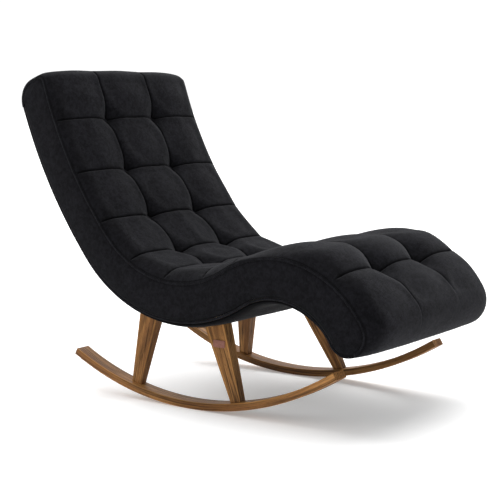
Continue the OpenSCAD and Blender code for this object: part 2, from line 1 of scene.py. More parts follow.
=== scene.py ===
# %% [markdown]
# # A rocking armchair, dressed for its portrait
# The chair is one long S-shaped seat on four tapered legs and two bent rockers. Its timber, screws and
# inner frame arrive as a fixed model. This lesson adds what cloth and wood need to look real: a quilted
# pad with stitched seams, side borders, piping, a back panel, and materials worked out with shader nodes.
# Every shape below is a formula on arrays of numbers, so the whole chair can be read as a drawing.

import json
import math

import bmesh
import bpy
import numpy as np
from mathutils import Matrix

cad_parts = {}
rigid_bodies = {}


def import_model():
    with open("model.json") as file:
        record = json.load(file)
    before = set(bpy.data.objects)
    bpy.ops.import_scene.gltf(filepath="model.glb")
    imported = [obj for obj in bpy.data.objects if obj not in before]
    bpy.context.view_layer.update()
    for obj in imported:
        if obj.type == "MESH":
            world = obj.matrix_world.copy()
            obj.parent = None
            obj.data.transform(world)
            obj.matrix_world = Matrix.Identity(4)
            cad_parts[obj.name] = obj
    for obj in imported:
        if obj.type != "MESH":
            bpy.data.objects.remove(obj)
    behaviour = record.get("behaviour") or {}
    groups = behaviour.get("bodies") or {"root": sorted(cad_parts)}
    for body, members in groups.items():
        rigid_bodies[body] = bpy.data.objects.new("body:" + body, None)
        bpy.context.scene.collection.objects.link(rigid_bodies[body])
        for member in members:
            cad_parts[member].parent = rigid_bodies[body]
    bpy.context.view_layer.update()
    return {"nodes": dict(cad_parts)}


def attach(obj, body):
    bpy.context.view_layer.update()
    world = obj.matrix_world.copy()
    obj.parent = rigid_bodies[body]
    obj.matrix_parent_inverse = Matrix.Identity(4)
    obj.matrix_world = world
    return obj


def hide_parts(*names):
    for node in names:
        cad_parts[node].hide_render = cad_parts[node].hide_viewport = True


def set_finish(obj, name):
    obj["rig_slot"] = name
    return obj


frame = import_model()
nodes = frame["nodes"]
scene = bpy.context.scene
print("nodes in the frame:", len(nodes))

# %% [markdown]
# ## The camera first
# The photograph was taken from in front of the chair and to its right, a little above the seat, with a
# short telephoto lens. The place and the lens were solved from the rockers, the legs and the seams, so
# every later piece can be held against the photograph straight away.

# %% Camera
cam_data = bpy.data.cameras.new("camera")
cam_data.sensor_width = 36.0
cam_data.lens = 88.49
cam_data.clip_end = 400.0
camera = bpy.data.objects.new("camera", cam_data)
scene.collection.objects.link(camera)
camera.location = (-2.694, -2.0173, 0.787)
CAMERA_YAW = math.radians(53.14)
CAMERA_PITCH = math.radians(6.68)
CAMERA_ROLL = math.radians(-0.64)
turn = (Matrix.Rotation(-CAMERA_YAW, 3, "Z") @ Matrix.Rotation(math.pi / 2 - CAMERA_PITCH, 3, "X")
        @ Matrix.Rotation(CAMERA_ROLL, 3, "Z"))
camera.rotation_euler = turn.to_euler()
scene.camera = camera
print("camera at", tuple(round(c, 3) for c in camera.location))

# %% [markdown]
# ## The seat's profile
# Seen from the side, the middle of the seat is a chain of arcs: a straight bit at the head, a gently
# bowed back, a tight hollow for the hips, and a bend over the knee down to the foot. A place on the chain
# is its distance s from the lowest point of the hollow, positive towards the head. A second number says
# how far a point stands off the chain towards the sitter.

# %% Profile values, in metres
SIDE = 0.300
HALF_BAND = 0.053
PAD_IN = 0.047
COVER_IN = 0.050
LUMBAR_R = 0.360
BACK_R = 1.224
KNEE_R = 0.246
HEAD_FRONT_R = 0.014
HEAD_BACK_R = 0.056
LUMBAR_A = math.radians(50.3)
HEAD_A = math.radians(71.6)
KNEE_START_A = math.radians(-30.8)
FOOT_A = math.radians(59.2)
S_LUMBAR = LUMBAR_R * LUMBAR_A
S_BACK = S_LUMBAR + BACK_R * (HEAD_A - LUMBAR_A)
S_HEAD = S_BACK + 0.051
S_KNEE = LUMBAR_R * KNEE_START_A
S_FOOT = S_KNEE - KNEE_R * (FOOT_A - KNEE_START_A)
S_LOW = S_FOOT + 0.001  # the piping and the back panel run from here
S_HIGH = S_HEAD - HEAD_BACK_R - 0.001  # to here
CONTACT_Y = 0.01356
HOLLOW = np.array([0.006 + CONTACT_Y, 0.340 - HALF_BAND + LUMBAR_R])


def up(angle):
    """Unit vector (y, z) square to the chain: minus the sine and the cosine of the slope."""
    return np.stack([-np.sin(angle), np.cos(angle)], axis=-1)


def along(angle):
    """Unit vector (y, z) along the chain towards the head: the cosine and the sine of the slope."""
    return np.stack([np.cos(angle), np.sin(angle)], axis=-1)


BACK_C = HOLLOW + (BACK_R - LUMBAR_R) * up(LUMBAR_A)
KNEE_C = HOLLOW - (LUMBAR_R + KNEE_R) * up(KNEE_START_A)


def slope(s):
    """Slope of the chain at s: arc length over radius, added up arc by arc."""
    s = np.asarray(s, float)
    knee = KNEE_START_A + (S_KNEE - s) / KNEE_R
    back = LUMBAR_A + (s - S_LUMBAR) / BACK_R
    return np.select([s < S_KNEE, s <= S_LUMBAR, s <= S_BACK], [knee, s / LUMBAR_R, back], HEAD_A)


def profile(s, off):
    """Point (y, z) at s, standing off the chain: an arc's centre plus or minus its radius along up()."""
    s = np.asarray(s, float)
    off = np.asarray(off, float) + 0 * s
    u = up(slope(s))
    knee = KNEE_C + (KNEE_R + off)[..., None] * u
    hollow = HOLLOW - (LUMBAR_R - off)[..., None] * u
    back = BACK_C - (BACK_R - off)[..., None] * u
    head = back + np.maximum(s - S_BACK, 0)[..., None] * along(HEAD_A)
    pick = [(s < S_KNEE)[..., None], (s <= S_LUMBAR)[..., None], (s <= S_BACK)[..., None]]
    return np.select(pick, [knee, hollow, back], head)


print("length of the chain", round(S_HEAD - S_FOOT, 3), "m")

# %% [markdown]
# ## The skin line
# The pad starts at the back of the head, rolls over it, runs down the seat and wraps round the foot. Its
# base line is a second chain: the profile's top side with an arc at each end. It is sampled finely once,
# and any place along it is then read by interpolation from its length t.


# %% Sample the skin line
def arc_part(centre, radius, start, stop, steps):
    """Points on an arc with the angle of their outward direction: centre plus radius times (cos, sin)."""
    angle = np.linspace(start, stop, steps)
    return np.column_stack([centre[0] + radius * np.cos(angle), centre[1] + radius * np.sin(angle), angle])


quarter = math.pi / 2
head_back_c = profile(S_HEAD - HEAD_BACK_R, HEAD_BACK_R - COVER_IN)
head_front_c = profile(S_HEAD - HEAD_FRONT_R, PAD_IN - HEAD_FRONT_R)
foot_r = (PAD_IN + COVER_IN) / 2
foot_c = profile(S_FOOT, (PAD_IN - COVER_IN) / 2)
top_s = np.linspace(S_HEAD - HEAD_FRONT_R, S_FOOT, 1500)
top_part = np.column_stack([profile(top_s, PAD_IN), slope(top_s) + quarter])
skin = np.vstack([
    arc_part(head_back_c, HEAD_BACK_R, HEAD_A - quarter, HEAD_A, 60),
    arc_part(head_front_c, HEAD_FRONT_R, HEAD_A, HEAD_A + quarter, 30)[:-1],
    top_part,
    arc_part(foot_c, foot_r, FOOT_A + quarter, FOOT_A + 3 * quarter, 90)[1:],
])
skin_t = np.concatenate([[0], np.cumsum(np.hypot(*np.diff(skin[:, :2], axis=0).T))])
SKIN_END = skin_t[-1]
top_t = skin_t[89:89 + len(top_s)]


def skin_at(t, off):
    """Point (y, z) standing off the skin line at length t: the base point plus off times its direction."""
    y, z, angle = (np.interp(t, skin_t, skin[:, k]) for k in range(3))
    return np.stack([y + off * np.cos(angle), z + off * np.sin(angle)], axis=-1)


def t_of(s):
    """Length along the skin line at a place on the profile."""
    return np.interp(-np.asarray(s), -top_s, top_t)


print("length of the skin line", round(SKIN_END, 3), "m")

# %% [markdown]
# ## Turning grids into meshes
# A surface here is a grid of points: one parameter runs along the seat and the other across it. The faces
# of a grid follow from its counts alone, so one helper serves every piece. The arrays go into the mesh
# whole, which is far quicker than adding faces one at a time. Where a row of the grid runs out over a
# piece and back inside it, its two ends are closed by a strip that joins each outer point to the inner
# point behind it.


# %% Grids
def grid_faces(rows, columns, wrap=False):
    """Quads of a rows by columns grid: each joins a point to its neighbours across and along."""
    reach = columns if wrap else columns - 1
    i, j = np.meshgrid(np.arange(rows - 1), np.arange(reach), indexing="ij")
    a = i * columns + j
    b = i * columns + (j + 1) % columns
    return np.stack([a, b, b + columns, a + columns], axis=-1).reshape(-1, 4)


def shell_faces(rows, columns):
    """Quads of a grid whose rows hold outer then inner points, and of the strips over its two end rows."""
    k = np.arange(columns // 2)
    strip = np.stack([k[:-1], k[1:], columns - 1 - k[1:], columns - 1 - k[:-1]], axis=-1)
    return [grid_faces(rows, columns, wrap=True), strip[:, ::-1], strip + (rows - 1) * columns]


print("a grid of 3 by 4 points has", len(grid_faces(3, 4)), "faces")


# %% Meshes
def new_object(name, points, faces):
    """A smooth mesh object at the origin from an array of points and a list of face arrays."""
    mesh = bpy.data.meshes.new(name)
    mesh.from_pydata(np.reshape(points, (-1, 3)).tolist(), [], [f for group in faces for f in group.tolist()])
    mesh.polygons.foreach_set("use_smooth", np.full(len(mesh.polygons), True))
    mesh.update()
    piece = bpy.data.objects.new(name, mesh)
    scene.collection.objects.link(piece)
    return piece


def paint_points(piece, name, values):
    """Stores one number per point, which a material can read back by its name."""
    layer = piece.data.attributes.new(name, "FLOAT", "POINT")
    layer.data.foreach_set("value", np.asarray(values, np.float32).ravel())


def face_outwards(piece):
    """Makes every face of a closed mesh point away from its inside."""
    shell = bmesh.new()
    shell.from_mesh(piece.data)
    bmesh.ops.remove_doubles(shell, verts=shell.verts, dist=1e-6)
    bmesh.ops.recalc_face_normals(shell, faces=shell.faces)
    shell.to_mesh(piece.data)
    shell.free()


SIDES = ((1, "left"), (-1, "right"))


def settle(piece, slot, *replaced):
    """Ties a finished piece to the chair, gives its finish's name and hides what it stands for."""
    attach(piece, "root")
    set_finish(piece, slot)
    if replaced:
        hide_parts(*replaced)
    print(piece.name, len(piece.data.polygons), "faces")


# %% [markdown]
# ## The quilted pad
# The pad is three columns of pillows, pinched at rows of tufts. A pillow rises from a seam like a quarter
# wave: steep at the stitches, flat in the middle. The crossings are pulled down hardest, and the rows
# end at the side seams. The last row runs out sooner, and below it the pad is one smooth roll over the
# foot. The height is one formula of the place across, x, and the place along, t.

# %% Rows, columns and heights, in metres
ROW_SHARES = np.array([0.902, 0.783, 0.667, 0.551, 0.447, 0.335, 0.254, 0.0755])
ROWS_T = t_of(S_FOOT + ROW_SHARES * (S_HEAD - S_FOOT))
LAST_ROW = ROWS_T[-1]
COLUMNS_X = np.array([-0.1, 0.1])
PAD_EDGE = 0.006  # the sewn edge stands this far off the skin line
CROWN = 0.034  # the middle of a pillow stands this far off the sewn edge
ROW_KEEP = 0.62  # share of the crown that is left in a row's seam
COLUMN_KEEP = 0.50  # share of the crown that is left in a column's seam
ROW_REACH = 0.070  # a pillow is full this far from a row
COLUMN_REACH = 0.100
TUFT_DIP = 0.014
TUFT_SPREAD = 0.0014  # square metres; a tuft's dip dies away over this
HEAD_RISE = 0.004
FOOT_RISE = 0.002
print("rows of tufts at", np.round(ROWS_T, 3))

# %% Where the padding is fuller or thinner: middle along the skin, reach, and share of the crown
PADDING = {"hip": (0.88, 0.13, 0.20), "knee": (1.13, 0.09, -0.44), "calf": (1.32, 0.09, 0.35),
           "foot": (1.475, 0.075, 0.43)}
print("the padding changes at the", *PADDING)


# %% Curves that the heights are made of
def rise(distance, reach):
    """Quarter sine wave to the power 0.6: how much of a pillow is left at a distance from its seam."""
    return np.sin(quarter * np.clip(distance / reach, 0, 1)) ** 0.6


def smooth_step(low, high, value):
    """Zero below low, one above high, and the cubic 3k^2 - 2k^3 between."""
    k = np.clip((value - low) / (high - low), 0, 1)
    return k * k * (3 - 2 * k)


def bell(value, middle, width):
    """One at the middle, falling away on both sides like e to the minus square."""
    return np.exp(-((value - middle) / width) ** 2)


def nearest(value, places):
    """Distance from each value to the nearest of some places."""
    return np.abs(value[..., None] - places).min(axis=-1)


def near_last(x, t):
    """How far the last row's own ending holds: one from that row down on the left, a fifth on the right."""
    return smooth_step(LAST_ROW - 0.10, LAST_ROW - 0.06, t) * np.where(x > 0, 1.0, 0.2)


# %% The height of the pad
def pad_height(x, t):
    """Height of the pad over its sewn edge: crown times what each seam leaves of it, less the tuft dips.
    At both ends it sinks to a small rise, and towards the sides to nothing, by a high power of x."""
    to_row = nearest(t, ROWS_T)
    to_column = nearest(x, COLUMNS_X)
    last = near_last(x, t)
    reach_side = 1 - smooth_step(0.284 - 0.040 * last, 0.2995 - 0.004 * last, np.abs(x))
    at_head = smooth_step(0.045, 0.195, t)
    below_rows = smooth_step(LAST_ROW, LAST_ROW + 0.160, t)
    row = 1 - reach_side * (1 - ROW_KEEP) * (1 - rise(to_row, ROW_REACH))
    column = 1 - (1 - COLUMN_KEEP) * at_head * (1 - below_rows) * (1 - rise(to_column, COLUMN_REACH))
    fuller = sum(share * bell(t, middle, reach) for middle, reach, share in PADDING.values())
    crown = CROWN * (1 + fuller)
    dip = TUFT_DIP * np.maximum(crown / CROWN, 1) * np.exp(-(to_row ** 2 + to_column ** 2) / TUFT_SPREAD)
    ends = at_head * smooth_step(0.045, 0.160, SKIN_END - t)
    base = np.where(t < SKIN_END / 2, HEAD_RISE, FOOT_RISE)
    edge = 1 - (np.abs(x) / SIDE) ** (7 + 5 * smooth_step(0.35, 0.75, t))
    return edge * (base * (1 - ends) + (crown * row * column - dip) * ends)


tallest = pad_height(*np.meshgrid(np.linspace(-SIDE, SIDE, 61), np.linspace(0, SKIN_END, 400))).max()
print("the pad stands up to", round(float(tallest) * 1000, 1), "mm over its sewn edge")

# %% [markdown]
# ## Letting the pad swell
# Padding under cloth never follows a formula exactly: it bulges and puckers where the stitches hold it.
# The coarse pad is therefore blown up a little by the cloth solver, with its seams and its rim pinned. The
# solver's movement is kept, capped, and added to a much finer grid, so the thin seam lines survive.


# %% The pad as a closed mesh
def closed_pad(xs, ts, height):
    """Points and faces of the pad: rings of outer points with a plain inner face, capped at both ends."""
    x, t = np.meshgrid(xs, ts)
    outer = np.dstack([x, skin_at(t, PAD_EDGE + height)])
    inner = np.dstack([x[:, ::-1], skin_at(t[:, ::-1], 0.0012)])
    points = np.hstack([outer, inner])
    return points.reshape(-1, 3), shell_faces(*points.shape[:2])


coarse_x = np.linspace(-SIDE, SIDE, 67)
coarse_t = np.linspace(0, SKIN_END, 172)
swell = np.zeros((len(coarse_t), len(coarse_x), 3))
print("the coarse pad has", len(coarse_t), "by", len(coarse_x), "points outside")

# %% How firmly each coarse point is held, from 0 to 1: on the rows and columns, and towards all four edges
HOLD_REACH = 0.006
CX, CT = np.meshgrid(coarse_x, coarse_t)
held = np.maximum.reduce([
    bell(nearest(CT, ROWS_T), 0, HOLD_REACH) * (1 - smooth_step(0.280, 0.299, np.abs(CX))),
    bell(nearest(CX, COLUMNS_X), 0, HOLD_REACH),
    smooth_step(SIDE - 0.012, SIDE, np.abs(CX)),
    smooth_step(0.020, 0.0, np.minimum(CT, SKIN_END - CT)),
])
print("held points:", int((held > 0.5).sum()), "of", held.size)

# %% Simulate the swelling
SWELL_CAP = 0.007
SWELL_FRAMES = 20
WEIGHT_STEPS = 20


def shifted(values, step, axis):
    """The same grid moved by one line, with the end line doubled."""
    count = values.shape[axis]
    return np.take(values, np.clip(np.arange(count) + step, 0, count - 1), axis=axis)


def swelling():
    """Movement of each outer point of the coarse pad after a few steps of cloth under pressure: capped,
    then evened out four times with its neighbours, half its own and a quarter of each."""
    points, faces = closed_pad(coarse_x, coarse_t, pad_height(CX, CT))
    trial = new_object("trial_pad", points, faces)
    weights = np.hstack([held, np.ones(held.shape)]).ravel()
    group = trial.vertex_groups.new(name="held")
    for step in range(1, WEIGHT_STEPS + 1):
        chosen = np.flatnonzero(np.round(weights * WEIGHT_STEPS) == step)
        if len(chosen):
            group.add(chosen.tolist(), step / WEIGHT_STEPS, "REPLACE")
    cloth = trial.modifiers.new("cloth", "CLOTH")
    for name, value in {"quality": 4, "mass": 0.3, "tension_stiffness": 12, "compression_stiffness": 12,
                        "shear_stiffness": 4, "bending_stiffness": 4, "use_pressure": True,
                        "uniform_pressure_force": 4, "vertex_group_mass": "held"}.items():
        setattr(cloth.settings, name, value)
    cloth.settings.effector_weights.gravity = 0
    cloth.collision_settings.use_collision = False
    for number in range(1, SWELL_FRAMES + 1):
        scene.frame_set(number)
    moved = trial.evaluated_get(bpy.context.evaluated_depsgraph_get())
    after = np.empty(len(points) * 3)
    moved.data.vertices.foreach_get("co", after)
    scene.frame_set(1)
    bpy.data.objects.remove(trial)
    moves = (after.reshape(-1, 3) - points).reshape(len(coarse_t), -1, 3)[:, :len(coarse_x)]
    length = np.linalg.norm(moves, axis=-1, keepdims=True)
    moves = moves * np.minimum(1, SWELL_CAP / np.maximum(length, 1e-9))
    for axis in (0, 1, 0, 1):
        moves = 0.5 * moves + 0.25 * (shifted(moves, 1, axis) + shifted(moves, -1, axis))
    return moves


swell = swelling()
print("the pad swelled by up to", round(float(np.linalg.norm(swell, axis=-1).max()) * 1000, 1), "mm")

# %% [markdown]
# ## The fine pad
# The fine grid crowds its lines beside the seams, where the cloth turns sharply, and spreads them over
# the pillows. A seam is a narrow groove with short stitches pulling at it, so the cloth beside it carries
# small puckers that die away within a finger's width.


# %% Lines of the fine grid
def crowded(places, low, high, near, far):
    """Grid lines from low to high: near apart beside the given places and far apart between them."""
    stops = np.unique(np.concatenate([[low], places, [high]]))
    out = [low]
    for a, b in zip(stops[:-1], stops[1:]):
        count = max(6, int((b - a) / (0.55 * (near + far))))
        k = np.linspace(0, 1, count + 1)[1:]
        eased = k - (1 - near / far) * np.sin(2 * math.pi * k) / (2 * math.pi)
        out.extend(a + (b - a) * eased)
    return np.array(out)


def cubic_weights(fine, coarse):
    """Matrix that carries values on even coarse lines to fine ones with Catmull-Rom weights."""
    step = coarse[1] - coarse[0]
    place = np.clip((fine - coarse[0]) / step, 0, len(coarse) - 1 - 1e-9)
    base = np.floor(place).astype(int)
    f = place - base
    parts = [0.5 * (-f + 2 * f ** 2 - f ** 3), 0.5 * (2 - 5 * f ** 2 + 3 * f ** 3),
             0.5 * (f + 4 * f ** 2 - 3 * f ** 3), 0.5 * (f ** 3 - f ** 2)]
    matrix = np.zeros((len(fine), len(coarse)))
    for k, part in enumerate(parts):
        np.add.at(matrix, (np.arange(len(fine)), np.clip(base + k - 1, 0, len(coarse) - 1)), part)
    return matrix


LINE_NEAR = 0.0016
LINE_FAR = 0.0062
fine_x = crowded(COLUMNS_X, -SIDE, SIDE, LINE_NEAR, LINE_FAR)
fine_t = crowded(ROWS_T, 0, SKIN_END, LINE_NEAR, LINE_FAR)
X, T = np.meshgrid(fine_x, fine_t)
to_row = nearest(T, ROWS_T)
to_column = nearest(X, COLUMNS_X)
print("the fine pad has", len(fine_t), "by", len(fine_x), "points outside")

# %% Where the seams run, from 0 to 1: the rows end at the sides, the columns below the last row
at_last = near_last(X, T)
row_strength = 1 - smooth_step(0.293 - 0.050 * at_last, 0.3005 - 0.010 * at_last, np.abs(X))
after_rows = 0.55 * smooth_step(LAST_ROW + 0.004, LAST_ROW + 0.03, T)
column_ends = LAST_ROW + np.where(X > 0, 0.03, 0.08)
column_strength = (smooth_step(0.045, 0.10, T) * (1 - after_rows)
                   * (1 - smooth_step(0, 0.09, T - column_ends)))


def on_seams(curve):
    """The larger of a curve over the distance to a row and to a column, each times its seam's strength."""
    return np.maximum(row_strength * curve(to_row), column_strength * curve(to_column))


print("seams cover", round(float(on_seams(lambda d: d < 0.004).mean() * 100), 1), "percent of the grid")

# %% Grooves, puckers and tufts, in metres
GROOVE = 0.0030
STITCH_PULL = 0.00035
TUFT_PULL = 0.0011
PIT = 0.0055
ROW_WAVE = 0.017
COLUMN_WAVE = 0.019
PUCKER_REACH = 0.010
groove = GROOVE * on_seams(lambda d: bell(d, 0, 0.0022))
row_wave = np.sin(X * 2 * math.pi / ROW_WAVE + 3 * np.sin(T * 31))
column_wave = np.sin(T * 2 * math.pi / COLUMN_WAVE + 3 * np.sin(X * 29))
pulled = (row_wave * row_strength * np.exp(-to_row / PUCKER_REACH)
          + column_wave * column_strength * np.exp(-to_column / PUCKER_REACH))
to_tuft = np.hypot(to_row, to_column)
nearest_row = ROWS_T[np.abs(T[..., None] - ROWS_T).argmin(axis=-1)]
round_tuft = np.arctan2(T - nearest_row, np.abs(X) - COLUMNS_X[1])
rays = np.cos(9 * round_tuft + 2 * np.sin(nearest_row * 70)) * (to_tuft / 0.012)
rays = rays * np.exp(-to_tuft / PUCKER_REACH)
pucker = STITCH_PULL * pulled + TUFT_PULL * rays - PIT * bell(to_tuft, 0, 0.011)
print("puckers from and to, in mm:", np.round([pucker.min() * 1000, pucker.max() * 1000], 1))

# %% Build the fine pad
points, faces = closed_pad(fine_x, fine_t, pad_height(X, T) - groove + pucker)
carried = np.einsum("ia,abk,jb->ijk", cubic_weights(fine_t, coarse_t), swell, cubic_weights(fine_x, coarse_x))
body = points.reshape(len(fine_t), -1, 3)
body[:, :len(fine_x)] += carried
pad = new_object("quilted_pad_cover", body, faces)

# %% Painted shade in the seams, round the tufts, in a band beside the side seams and at their edge
seam_line = on_seams(lambda d: bell(d, 0, 0.0028))
seam_shade = np.maximum(row_strength * np.exp(-to_row / 0.014), column_strength * np.exp(-to_column / 0.016))
to_side = SIDE - np.abs(X)
painted_shade = (0.55 * seam_line + 0.35 * seam_shade + 0.5 * bell(to_tuft, 0, 0.018)
          + 0.42 * bell(to_side, 0.020, 0.020) + 0.6 * np.exp(-to_side / 0.0015))
painted_shade = np.clip(painted_shade, 0, 1)
paint_points(pad, "painted_shade", np.hstack([painted_shade, 0 * painted_shade]))
face_outwards(pad)
settle(pad, "cover", "quilted_pad")

# %% [markdown]
# ## Side borders
# A border closes the side of the seat between the pad and the piping. Over its foam it is a shallow
# pillow: it stands a few millimetres proud in the middle and is drawn in at both seams. One parameter
# runs along the seat, over the head and round the foot, and the other from the lower seam to the upper.


# %% Build the borders
BORDER_GAP = 0.0006
BORDER_T = 0.0077
BORDER_SWELL = 0.0032


def border(side, name):
    """A closed cloth-covered board: straight lines from the lower to the upper seam, which stand out by a
    swell that grows with the distance to the nearer seam, and the same lines again flat inside."""
    edge_t = np.linspace(0, SKIN_END, 361)
    upper = skin_at(edge_t, -BORDER_GAP)
    lower_s = np.interp(edge_t, [top_t[0], top_t[-1]], [S_HEAD - HEAD_BACK_R, S_FOOT])
    lower = profile(lower_s, BORDER_GAP - COVER_IN)
    k = np.linspace(0, 1, 25)
    yz = lower[:, None] + k[:, None] * (upper - lower)[:, None]
    depth = np.outer(np.linalg.norm(upper - lower, axis=1), np.minimum(k, 1 - k))
    outer_x = side * (SIDE - 0.0012 + BORDER_SWELL * (1 - np.exp(-(depth / 0.014) ** 1.3)))
    inner_x = np.full(outer_x.shape, side * (SIDE - BORDER_T))
    grid = np.hstack([np.dstack([outer_x, yz]), np.dstack([inner_x, yz])[:, ::-1]])
    piece = new_object("border_cover_" + name, grid, shell_faces(*grid.shape[:2]))
    # Painted shade: darkest along both seams, and the middle of the border a little darker too.
    shade = 0.28 + 0.72 * np.exp(-depth / 0.004)
    paint_points(piece, "painted_shade", np.hstack([shade, 0 * shade]))
    face_outwards(piece)
    settle(piece, "cover", "border_" + name)


for side, name in SIDES:
    border(side, name)

# %% [markdown]
# ## Piping, and the lapped seam with its two lines of stitching
# Both are swept along lines that are already known. The lower seam is closed with a cord wrapped in
# cloth. The upper seam is folded to one side and stitched down twice, so it shows as a low flat ridge
# between two stitch lines.


# %% Sweep helper
def swept(name, path, section_a, section_b, ring):
    """Carries a closed ring of (a, b) pairs along a path: point = path + a * section_a + b * section_b."""
    grid = path[:, None] + ring[:, :1] * section_a[:, None] + ring[:, 1:] * section_b[:, None]
    rows, columns = grid.shape[:2]
    caps = [np.arange(columns)[None, ::-1], (rows - 1) * columns + np.arange(columns)[None, :]]
    piece = new_object(name, grid, [grid_faces(rows, columns, wrap=True), *caps])
    face_outwards(piece)
    return piece


def with_x(x, yz):
    """Puts an x in front of an array of (y, z)."""
    return np.column_stack([np.full(len(yz), x), yz])


ACROSS = np.array([[1.0, 0.0, 0.0]])

# %% Piping
PIPING_R = 0.003
angle = np.arange(12) / 12 * 2 * math.pi
cord_ring = PIPING_R * np.column_stack([np.cos(angle), np.sin(angle)])
s = np.linspace(S_LOW, S_HIGH, 320)
for side, name in SIDES:
    path = with_x(side * (SIDE - PIPING_R - 0.0003), profile(s, -HALF_BAND))
    cord = swept("piping_cord_" + name, path, ACROSS, with_x(0.0, up(slope(s))), cord_ring)
    settle(cord, "cover", "piping_" + name)

# %% Lapped seam
LAP_HALF = 0.0036
LAP_RISE = 0.0014
LAP_OFF = 0.0003  # the seam's middle stands this far off the skin line
half_ring = np.array([(0.2, 1.0), (0.6, 0.95), (0.86, 0.72), (0.98, 0.25), (1.0, -0.4)])
lap_ring = np.vstack([(half_ring * (-1, 1))[::-1], half_ring])
seam_t = np.linspace(0.0, top_t[-1] + foot_r * quarter * 1.05, 420)
seam_angle = np.interp(seam_t, skin_t, skin[:, 2])
seam_dir = np.stack([np.cos(seam_angle), np.sin(seam_angle)], axis=-1)
# Painted shade along the ridge: darkest at its two sides, only a little darker along its middle.
fold_shade = 0.15 + 0.85 * np.abs(lap_ring[:, 0]) ** 4
for side, name in SIDES:
    path = with_x(side * SIDE, skin_at(seam_t, LAP_OFF))
    ridge = swept("lapped_seam_" + name, path, with_x(0.0, seam_dir), ACROSS,
                  lap_ring * (LAP_HALF, side * LAP_RISE))
    paint_points(ridge, "painted_shade", np.tile(fold_shade, len(seam_t)))
    settle(ridge, "cover", "lap_seam_" + name)

# %% [markdown]
# ## Stitches
# Each stitch is a tiny lozenge of thread, a few millimetres long, on either side of the lapped seam.
# Hundreds of them are one mesh, made by adding one small shape's points to every stitch's place at once.


# %% Stitch rows
STITCH_L = 0.0042
STITCH_W = 0.0007
STITCH_STEP = 0.0056
STITCH_OUT = 0.0006  # the thread lies this far outside the ridge


def stitch_row(name, centres, forward, outward):
    """Copies of a three-sided lozenge: a centre plus shares of the ways forward, sideways and outward."""
    sideways = np.cross(forward, outward)
    shape = np.array([(-1, 0, 0), (-0.6, 1, 0), (-0.6, 0, 1), (-0.6, -1, 0), (0.6, 1, 0), (0.6, 0, 1),
                      (0.6, -1, 0), (1, 0, 0)]) * (STITCH_L / 2, STITCH_W / 2, STITCH_W * 0.6)
    points = (centres[:, None] + shape[:, :1] * forward[:, None] + shape[:, 1:2] * sideways[:, None]
              + shape[:, 2:] * outward[:, None])
    one = [(0, 1, 2), (0, 2, 3), (0, 3, 1), (7, 5, 4), (7, 6, 5), (7, 4, 6),
           (1, 4, 5, 2), (2, 5, 6, 3), (3, 6, 4, 1)]
    shift = np.arange(len(centres)) * len(shape)
    faces = [np.array(f)[None, :] + shift[:, None] for f in one]
    settle(new_object(name, points, faces), "cover")


stitch_t = np.arange(0.006, seam_t[-1], STITCH_STEP)
ahead = skin_at(stitch_t + 0.001, 0) - skin_at(stitch_t, 0)
forward = with_x(0.0, ahead / np.linalg.norm(ahead, axis=1, keepdims=True))
both_rows = np.vstack([skin_at(stitch_t, LAP_OFF + way * (LAP_HALF + STITCH_OUT)) for way in (-1, 1)])
for side, name in SIDES:
    stitch_row("seam_stitches_" + name, with_x(side * (SIDE + 0.0002), both_rows),
               np.vstack([forward, forward]), side * ACROSS)

# %% [markdown]
# ## The back panel
# Behind and below, a single cloth is drawn over the frame. It bulges a little between its edges and is
# cut out where the two bearers come through. It is one grid whose cells over the bearers are left out,
# thickened by a modifier. The sum of its cells is the area of cloth that an upholsterer would cut.

# %% The panel's sizes, in metres
BACK_X = SIDE - 2 * PIPING_R - 0.0006
BACK_T = 0.003
UNDER_RISE = 0.013
BEARER_HALF = 0.0303
BEARER_X = 0.268
BEARERS_S = LUMBAR_R * np.radians([-9.5, 20.9])


def back_bulge(x, s):
    """Distance of the back panel under the middle line: flat, rolled at both edges, thin at both ends."""
    stand = (FOOT_RISE + (UNDER_RISE - FOOT_RISE) * smooth_step(0.0, 0.150, s - S_FOOT)
             - (UNDER_RISE - HEAD_RISE) * smooth_step(0.20, 0.46, s))
    return COVER_IN + PAD_EDGE + stand * np.sqrt(1 - np.abs(x / BACK_X) ** 12)


stops_x = [-BEARER_X, BEARER_X]
stops_s = np.sort(np.concatenate([BEARERS_S - BEARER_HALF, BEARERS_S + BEARER_HALF]))
panel_x = np.unique(np.concatenate([crowded(stops_x, -BACK_X, BACK_X, 0.003, 0.012), stops_x]))
panel_s = crowded(stops_s, S_LOW, S_HIGH, 0.003, 0.010)
print("the panel's grid has", len(panel_s), "by", len(panel_x), "points")

# %% Build the back panel
PX, PS = np.meshgrid(panel_x, panel_s)
waves = 0.0012 * np.sin(PS * 47 + 2 * np.sin(PX * 9)) * np.cos(PX * 11)
drop = back_bulge(PX * 0.9999, PS) + waves * smooth_step(0.0, 0.06, BACK_X - np.abs(PX))
panel_grid = np.dstack([PX, profile(PS, -drop)])
cells = grid_faces(*panel_grid.shape[:2])
mid_x, mid_s = (values.ravel()[cells].mean(axis=1) for values in (PX, PS))
over_bearer = (np.abs(mid_x) < BEARER_X) & (nearest(mid_s, BEARERS_S) < BEARER_HALF)
panel = new_object("back_panel", panel_grid, [cells[~over_bearer]])
# Painted shade: darker where the panel faces down under the seat, and along its two edges by the piping.
under_seat_shade = 0.9 * smooth_step(0.60, 0.95, np.cos(slope(PS)))
paint_points(panel, "painted_shade", np.maximum(under_seat_shade, np.exp(-(BACK_X - np.abs(PX)) / 0.006)))
wall = panel.modifiers.new("wall", "SOLIDIFY")
wall.thickness = BACK_T
wall.offset = -1

# %% Tie the panel to the chair in place of the fixed back cover
settle(panel, "cover", "back_cover")

# %% [markdown]
# ## The leather tag
# A small rectangle of worn leather is fixed to the right front leg. It follows the leg's outer face, with
# rounded corners and a pressed line inside its edge. Nothing is written on it.

